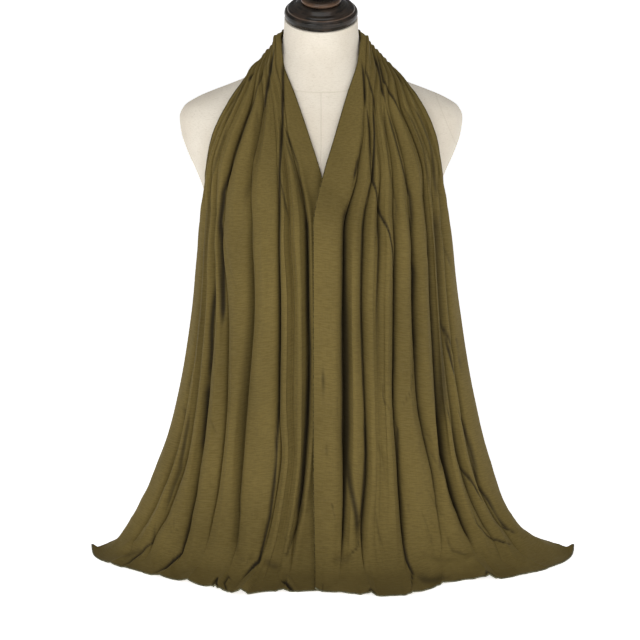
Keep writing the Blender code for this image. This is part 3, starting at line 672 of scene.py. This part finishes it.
class Scarf:
    """The scarf as one sheet. Its long way is u, in sections from the nape: below 0 to the left hem, above 0 to
    the right one. Its short way is the turn from the in edge, at 0, to the out edge."""

    def __init__(self, form):
        self.form = BVHTree.FromObject(form, bpy.context.evaluated_depsgraph_get())
        self.knots = np.arange(-HEM, HEM + 1)
        self.values = {}
        for name in SECTION_COLUMNS[1:]:
            if name.startswith(("left", "right_in", "right_out")):
                continue
            half = column(SECTIONS, SECTION_COLUMNS, name)
            self.values[name] = np.concatenate([half[:0:-1], half])
        for edge in ("in", "out"):
            left = column(SECTIONS, SECTION_COLUMNS, "left_" + edge)
            right = column(SECTIONS, SECTION_COLUMNS, "right_" + edge)
            self.values[edge + "_x"] = np.concatenate([-left[:0:-1], right])
        left = crease_places(LEFT_CREASES, "left")
        right = crease_places(RIGHT_CREASES, "right")
        self.places = np.concatenate([left[:, :0:-1], right], axis=1)
        self.looks = self.crease_looks()

    def crease_looks(self):
        """Depth share, gap and lap of each crease at each section."""
        steps = np.arange(len(SECTIONS))
        stops = [0, VEE, WAIST, HEM]
        looks = []
        for left, right in zip(LEFT_CREASES, RIGHT_CREASES):
            halves = []
            for row in (left, right):
                value = dict(zip(CREASE_COLUMNS, row))
                top, middle, low = value["depth_top"], value["depth_mid"], value["depth_low"]
                neck = value["depth_neck"]
                depth = np.interp(steps, (0, COLLAR, VEE, WAIST, HEM), (neck, neck, top, middle, low))
                gap = np.interp(steps, stops, (1.2, value["gap_top"], value["gap_mid"], value["gap_top"]))
                lap = np.interp(steps, stops, (0, value["lap"], value["lap"], value["lap"]))
                halves.append(np.array([depth, gap * MM, lap * MM]))
            looks.append(np.concatenate([halves[0][:, :0:-1], halves[1]], axis=1))
        return np.array(looks)

    def at(self, name, u):
        return rising_cubic(self.knots, self.values[name], u)

    def section(self, u):
        """All that smooth_points needs of one section."""
        value = {name: float(self.at(name, u)) for name in self.values}
        value["start"] = np.array([value["in_" + axis] for axis in "xyz"])
        value["span"] = np.array([value["out_" + axis] for axis in "xyz"]) - value["start"]
        value["reach"] = np.array(LEFT_REACH if u < 0 else RIGHT_REACH).T
        value["low"] = max((abs(u) - HIP) / (HEM - HIP), 0) ** 1.5
        return value

    def smooth_points(self, section, turn):
        share = turn / (math.pi / 2)
        curve = section["round"]
        along = share + (np.sin(turn) - share) * curve
        back = share + (1 - np.cos(turn) - share) * curve
        points = section["start"] + section["span"] * np.stack([along, back, along], axis=1)
        if section["low"] > 0:
            points[:, 1] -= rising_cubic(*section["reach"], along) * section["low"]
        return points * MM

    def normals(self, u, turn, step=0.02):
        high = self.section(min(u + step, HEM))
        low = self.section(max(u - step, -HEM))
        here = self.section(u)
        down = self.smooth_points(high, turn) - self.smooth_points(low, turn)
        across = self.smooth_points(here, turn + step) - self.smooth_points(here, turn - step)
        normal = np.cross(down, across)
        return normal / np.linalg.norm(normal, axis=1)[:, None]

    def lifted(self, points, ways, least):
        """The points moved along ways until they lie at least this far from the form."""
        moved = np.array(points)
        for i in range(len(points)):
            point = Vector(points[i])
            way = Vector(ways[i])
            for _ in range(8):
                place, normal, _, distance = self.form.find_nearest(point)
                if (point - place).dot(normal) < 0:
                    distance = -distance
                if distance >= least[i] - 0.01 * MM:
                    break
                point = point + way * (least[i] - distance)
            moved[i] = point
        return moved

    def cover(self, u, section, turn):
        """The gathered cloth's outer envelope, and the way out of it."""
        share = np.minimum(1.0, turn / (math.pi / 2))
        inner = section["right_lie"] * MM
        if u < -RIDGE:
            inner = min(inner, EDGE_LIE)
        outer = min(inner, EDGE_LIE)
        low = inner + (section["lie"] * MM - inner) * np.minimum(1, 6 * share)
        least = outer + (low - outer) * np.minimum(1, 6 * (1 - share))
        normal = self.normals(u, turn)
        return self.lifted(self.smooth_points(section, turn), normal, least), normal

    def room(self, point, normal):
        hit = self.form.ray_cast(Vector(point), Vector(-normal), 0.08)
        if hit[0] is None:
            return 1.0
        return max(0.0, hit[3] - CLEARANCE - 0.5 * MM)

    def creases(self, u, section):
        """Turn, depth and widths of the creases at u."""
        side = -1 if u < 0 else 1
        places = np.array([float(rising_cubic(self.knots, line, u)) for line in self.places])
        steps = np.linspace(0, math.pi / 2, 120)
        shares = steps / (math.pi / 2)
        along = shares + (np.sin(steps) - shares) * section["round"]
        turns = np.interp(np.clip(places, 0.01, 0.99), along, steps)
        points, normals = self.cover(u, section, turns)
        speed = np.linalg.norm(
            self.smooth_points(section, turns + 0.01) - self.smooth_points(section, turns - 0.01), axis=1
        ) / 0.02
        speed = np.maximum(speed, 0.01)
        rows = []
        for k, turn in enumerate(turns):
            share, gap, lap = (float(rising_cubic(self.knots, line, u)) for line in self.looks[k])
            share *= 1 + 0.14 * wander(u * 0.9, k * 3.1, side)
            gap *= 1 + 0.45 * wander(u * 1.3, k * 5.7, side + 4)
            room = self.room(points[k], normals[k])
            rows.append((turn, speed[k], section["fold"] * MM * share, gap, lap, room))
        return np.array(rows)

    def profile(self, u, section, creases):
        """The folds across the sheet at u: turn and height over the envelope, from the in edge outwards."""
        side = -1 if u < 0 else 1
        last_turn = math.pi / 2 + math.radians(section["wrap"])
        stops = [0.0, *creases[:, 0], last_turn]
        fold = section["fold"] * MM
        flat = float(min(1.0, max(0.0, (abs(u) - FOOT) / 1.5)))
        hung = float(min(1.0, max(0.0, abs(u) - VEE + 0.6))) * (1 - flat)
        edge, crest = (LEFT_TUCK, LEFT_TUCK / 2) if u < 0 else (-RIGHT_LIFT, -RIGHT_LIFT)
        rise = RIGHT_RISE * flat if u > 0 else 0
        base = -fold * flat
        profile = [(0.0, rise - edge * hung + base)]
        for share in (0.3, 0.62):
            sway = 0.8 * MM * wander(u * 1.1, share * 9, side + 9)
            profile.append((stops[1] * share, -crest * hung + base + sway))
        for k, (turn, speed, wanted, gap, lap, room) in enumerate(creases):
            before = (turn - stops[k]) * speed
            after = (stops[k + 2] - turn) * speed
            spacing = min(before, after)
            depth = min(wanted, DEPTH_PER_SPACING * max(spacing - TIGHTEST, 0), room)
            ruffle = (LEFT_CREASES if u < 0 else RIGHT_CREASES)[k][CREASE_COLUMNS.index("ruffle")]
            low, lip_low, shoulder_low = (base * (1 - share * ruffle) for share in RUFFLE_ARCH)
            depth = depth * (1 - flat * (1 - RUFFLE_CREASE * ruffle))
            lap = min(lap * depth / max(wanted, MM) * (1 - flat), 0.15 * spacing)
            lip = min(gap / 2 + RUFFLE_LIP * flat * ruffle, 0.18 * spacing)
            shoulder_in = lip + min(SHOULDER_WIDTH + RUFFLE_SHOULDER * flat * ruffle, 0.2 * before)
            shoulder_out = lip + min(SHOULDER_WIDTH + RUFFLE_SHOULDER * flat * ruffle, 0.2 * after)
            profile += [
                (turn - shoulder_in / speed, shoulder_low - SHOULDER_DEPTH * depth),
                (turn - (lip - 0.4 * lap) / speed, lip_low - LIP_DEPTH * depth),
                (turn - lap / speed, low - depth * (1 - 0.5 * flat)),
                (turn + lip / speed, lip_low - (LIP_DEPTH + 0.12) * depth),
                (turn + shoulder_out / speed, shoulder_low - SHOULDER_DEPTH * depth),
            ]
            crown = min(CROWN, 0.1 * after) * (1 - flat)
            gap_turn = stops[k + 2] - turn
            soft = min(0.06 * after, 2.2 * MM) * (1 - 0.6 * flat)
            for share in (0.36, 0.5, 0.64):
                sway = soft * wander(u * 0.75 + share * 2.3, k * 4.4 + share * 5, side + 2)
                dip = 1 - 2.6 * abs(share - 0.5)
                profile.append((turn + gap_turn * share, crown * dip + base + sway))
        tuck = OUT_TUCK * min(1.0, max(0.0, abs(u) - VEE))
        profile.append((last_turn, -tuck * (1 - flat) + base))
        return np.array(profile)

    def strokes(self, points, normals):
        """Depth and painted shade of the listed wrinkles at each point."""
        up = points[:, 2] * math.cos(SEEN_FROM) + points[:, 1] * math.sin(SEEN_FROM)
        seen = np.stack([points[:, 0], up], axis=1) / MM
        facing = np.clip(3 * (normals[:, 2] * math.sin(SEEN_FROM) - normals[:, 1] * math.cos(SEEN_FROM)), 0, 1)
        on_floor = ramp(-points[:, 2], -45 * MM, -12 * MM)
        depth = np.zeros(len(points))
        shade = np.zeros(len(points))
        for value, half_width, dark, line in WRINKLES:
            line = np.array(line, float)
            reach = 3.5 * half_width
            if (seen[:, 1].max() < line[:, 1].min() - reach) or (seen[:, 1].min() > line[:, 1].max() + reach):
                continue
            length = np.concatenate([[0], np.cumsum(np.linalg.norm(np.diff(line, axis=0), axis=1))])
            best = np.full(len(points), 1e9)
            along = np.zeros(len(points))
            for i in range(len(line) - 1):
                way = line[i + 1] - line[i]
                t = np.clip((seen - line[i]) @ way / (way @ way), 0, 1)
                gap = np.linalg.norm(seen - line[i] - t[:, None] * way, axis=1)
                closer = gap < best
                best = np.where(closer, gap, best)
                along = np.where(closer, length[i] + t * (length[i + 1] - length[i]), along)
            ends = np.minimum(along, length[-1] - along) / min(25.0, 0.3 * length[-1])
            fade = np.clip(ends, 0.12, 1) ** 0.7
            near = np.exp(-((best / (half_width * (0.45 + 0.55 * fade))) ** 2)) * fade * facing
            near = near * (1 + FLOOR_CREASING * on_floor)
            depth = depth + value * MM * near
            # Painted shade: the wrinkle's line is darkened, standing in for the shade in it.
            shade = np.maximum(shade, dark * near)
        return depth, shade

    def wrinkles(self, u, across, points):
        """Fine wrinkles on one row: soft long ones where it hangs, crumples where it meets the floor."""
        side = -1 if u < 0 else 1
        low = float(ramp(abs(u), WAIST + 0.3, FOOT)) * (1 + 0.35 * float(ramp(abs(u), FOOT + 0.3, FOOT + 1)))
        low *= 1 - 0.5 * float(ramp(abs(u), HEM - 0.7, HEM))
        top = 1 - float(ramp(abs(u), VEE, VEE + 1.5))
        height = np.zeros(len(points))
        for j, (x, y, z) in enumerate(points):
            slant = (x * side * 0.75 + z) * 1000
            drag = noise.noise(Vector((slant / 26, x * 6, 3.1 + side)))
            crumple = noise.noise(Vector((x * 34, y * 20, z * 24 + 5)))
            crease = 1 - abs(noise.noise(Vector((x * 22, z * 15, side * 2.2)))) * 2
            long = noise.noise(Vector((across[j] * 90, u * 0.55, side * 8)))
            sway = noise.noise(Vector((across[j] * 34 + u * 0.4, u * 0.9, side * 5 + 3)))
            height[j] = (
                0.75 * MM * long
                + 0.9 * MM * sway
                + low * MM * (1.3 * drag + 2.0 * crumple + 0.9 * max(crease, 0) ** 3)
                + 0.35 * MM * top * drag
            )
        return height

    def rows(self, stops):
        """Points of the folded sheet for each u in stops, and the painted shade at each point."""
        sections = [self.section(u) for u in stops]
        creases = np.array([self.creases(u, s) for u, s in zip(stops, sections)])
        window = np.array([1, 2, 3, 4, 3, 2, 1], float)
        window /= window.sum()
        for k in range(creases.shape[1]):
            for c in (2, 3, 5):
                padded = np.pad(creases[:, k, c], 3, mode="edge")
                creases[:, k, c] = np.convolve(padded, window, mode="valid")
        grid = []
        shades = []
        for u, section, crease in zip(stops, sections, creases):
            profile = self.profile(u, section, crease)
            index = np.arange(len(profile))
            fine = np.linspace(0, len(profile) - 1, (len(profile) - 1) * POINTS_PER_SPAN + 1)
            turn = rising_cubic(index, profile[:, 0], fine)
            height = rising_cubic(index, profile[:, 1], fine)
            places, normals = self.cover(u, section, np.clip(turn, 0, None))
            width = np.linalg.norm(np.diff(places, axis=0), axis=1)
            across = np.concatenate([[0], np.cumsum(width)])
            # Painted shade: the deeper a point sinks into a crease, the darker it is painted, standing in for the shade
            # there.
            painted_sunk_shade = np.clip((height[0] - height - 2.5 * MM) / (11 * MM), 0, 1)
            depth, shade = self.strokes(places, normals)
            shades.append(np.maximum(0.85 * painted_sunk_shade ** 1.2, shade))
            from_corner = (across[-1] - across) / CURL_REACH
            curl = CURL * float(ramp(abs(u), HEM - CURL_ROWS, HEM)) * np.exp(-from_corner ** 2)
            height = height + self.wrinkles(u, across, places) - depth + curl
            points = places + normals * height[:, None]
            points = self.lifted(points, normals, np.full(len(points), CLEARANCE))
            points[:, 2] = np.maximum(points[:, 2], WALL + FLOOR_CLEARANCE)
            grid.append(points)
        return np.array(grid), np.array(shades)


def cloth_piece(name, grid, shades, along, material):
    """The scarf's mesh, with a flat layout in its UV map and the painted shade of its creases in an attribute."""
    rows, across = grid.shape[:2]
    obj = add_piece(name, grid.reshape(-1, 3), grid_faces(rows, across), material)
    wide = np.linalg.norm(np.diff(grid, axis=1), axis=2)
    wide = np.concatenate([np.zeros((rows, 1)), np.cumsum(wide, axis=1)], axis=1)
    wide = wide / wide[:, -1:] * WIDTH
    layer = obj.data.uv_layers.new(name="flat")
    loops = np.empty(len(obj.data.loops), int)
    obj.data.loops.foreach_get("vertex_index", loops)
    flat = np.stack([wide.reshape(-1), np.repeat(along, across)], axis=1)[loops]
    layer.data.foreach_set("uv", flat.reshape(-1))
    # Painted shade of the creases and wrinkles, which the jersey material turns into darker colour.
    painted_crease_shade = obj.data.attributes.new("painted_crease_shade", "FLOAT", "POINT")
    painted_crease_shade.data.foreach_set("value", shades.reshape(-1))
    return obj


def edge_piece(name, path, material, radius, sides=7):
    """The overlocked edge along a border of the cloth."""
    path = np.array(path)
    tangent = np.gradient(path, axis=0)
    tangent /= np.linalg.norm(tangent, axis=1)[:, None] + 1e-9
    side = np.cross(tangent, np.array([0.0, 0.0, 1.0]))
    side[np.linalg.norm(side, axis=1) < 0.05] = (1, 0, 0)
    side /= np.linalg.norm(side, axis=1)[:, None]
    other = np.cross(tangent, side)
    turn = np.arange(sides) * 2 * math.pi / sides
    rings = []
    for i in range(len(path)):
        ring = path[i] + radius * (np.outer(np.cos(turn), side[i]) + np.outer(np.sin(turn), other[i]))
        ring[:, 2] = np.maximum(ring[:, 2], FLOOR_CLEARANCE)
        rings.append(ring)
    faces = grid_faces(len(rings), sides, closed=True)
    faces.append(tuple(range(sides))[::-1])
    faces.append(tuple(range((len(rings) - 1) * sides, len(rings) * sides)))
    return add_piece(name, np.concatenate(rings), faces, material)


def make_scarf(form, jersey, thread, hem_thread):
    scarf = Scarf(form)
    fall = np.linspace(RIDGE, HEM, (HEM - RIDGE) * ROWS_PER_SECTION + 1)
    loop = np.linspace(-RIDGE, RIDGE, 2 * RIDGE * LOOP_ROWS_PER_SECTION + 1)
    grid, shades = scarf.rows(np.concatenate([-fall[::-1], loop[1:-1], fall]))
    middle = grid[:, grid.shape[1] // 2]
    along = np.concatenate([[0], np.cumsum(np.linalg.norm(np.diff(middle, axis=0), axis=1))])
    piece = cloth_piece("cloth_scarf", grid, shades, along, jersey)
    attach(piece, "root")
    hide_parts("scarf_left_fall", "scarf_neck_wrap", "scarf_right_fall")
    borders = (
        ("in_edge", grid[:, 0], thread),
        ("out_edge", grid[:, -1], thread),
        ("left_hem", grid[0], hem_thread),
        ("right_hem", grid[-1], hem_thread),
    )
    for border, path, material in borders:
        edge = edge_piece("overlock_" + border, path, material, 1.0 * MM if "hem" in border else 0.6 * MM)
        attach(edge, "root")


def make_stage(material):
    """A round white floor that curves up into a low wall all round."""
    profile = [(0.5, 0.0), (3.0, 0.0), (7.5, 0.0)]
    for i in range(1, 13):
        turn = i / 12 * math.pi / 2
        profile.append((7.5 + 1.5 * math.sin(turn), 1.5 - 1.5 * math.cos(turn)))
    profile.append((9.0, 2.2))
    sides = 72
    turn = np.arange(sides) * 2 * math.pi / sides
    rings = [np.stack([r * np.cos(turn), r * np.sin(turn), np.full(sides, z)], axis=1) for r, z in profile]
    faces = [face[::-1] for face in grid_faces(len(rings), sides, closed=True)]
    faces.append(tuple(range(sides)))
    floor = add_piece("stage_floor", np.concatenate(rings), faces, material)


def area_light(name, place, target, size, power):
    data = bpy.data.lights.new(name, "AREA")
    data.shape = "RECTANGLE"
    data.size, data.size_y = size
    data.energy = power
    light = bpy.data.objects.new(name, data)
    light.location = place
    way = Vector(target) - Vector(place)
    light.rotation_euler = way.to_track_quat("-Z", "Y").to_euler()
    bpy.context.scene.collection.objects.link(light)


def make_lights():
    world = bpy.data.worlds.new("studio")
    world.use_nodes = True
    background = world.node_tree.nodes["Background"]
    background.inputs["Color"].default_value = (1, 1, 1, 1)
    background.inputs["Strength"].default_value = 0.18
    bpy.context.scene.world = world
    area_light("key", (-1.3, -2.8, 1.5), (0, 0, 0.35), (1.2, 1.2), 19)
    area_light("fill", (1.5, -2.8, 1.1), (0, 0, 0.35), (1.2, 1.2), 9.8)
    area_light("overhead", (0, -1.0, 3.2), (0, 0, 0.5), (1.8, 1.8), 21)


def make_camera():
    data = bpy.data.cameras.new("camera")
    data.sensor_width = 36
    data.lens = 36 * 2206 / 640
    data.clip_end = 30
    camera = bpy.data.objects.new("camera", data)
    elevation = math.radians(14)
    distance = 3.0
    camera.location = (-0.0014, -distance * math.cos(elevation), 0.311 + distance * math.sin(elevation))
    camera.rotation_euler = (math.pi / 2 - elevation, 0, 0)
    bpy.context.scene.collection.objects.link(camera)
    bpy.context.scene.camera = camera


def main():
    linen = linen_material()
    wood = wood_material()
    form = make_form(linen)
    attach(form, "root")
    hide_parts("dress_form")
    for name, outline in (("neck_cap", CAP_OUTLINE), ("cap_knob", KNOB_OUTLINE)):
        piece = make_turned("turned_" + name, outline, wood)
        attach(piece, "root")
        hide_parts(name)
    bpy.context.view_layer.update()
    thread = edge_material("selvedge_thread", (0.045, 0.033, 0.01), (0.12, 0.09, 0.028))
    hem_thread = edge_material("hem_thread", (0.075, 0.07, 0.036), (0.19, 0.18, 0.11))
    make_scarf(form, jersey_material(), thread, hem_thread)
    make_stage(floor_material())
    make_lights()
    make_camera()
    bpy.context.scene.view_settings.view_transform = "Standard"


main()
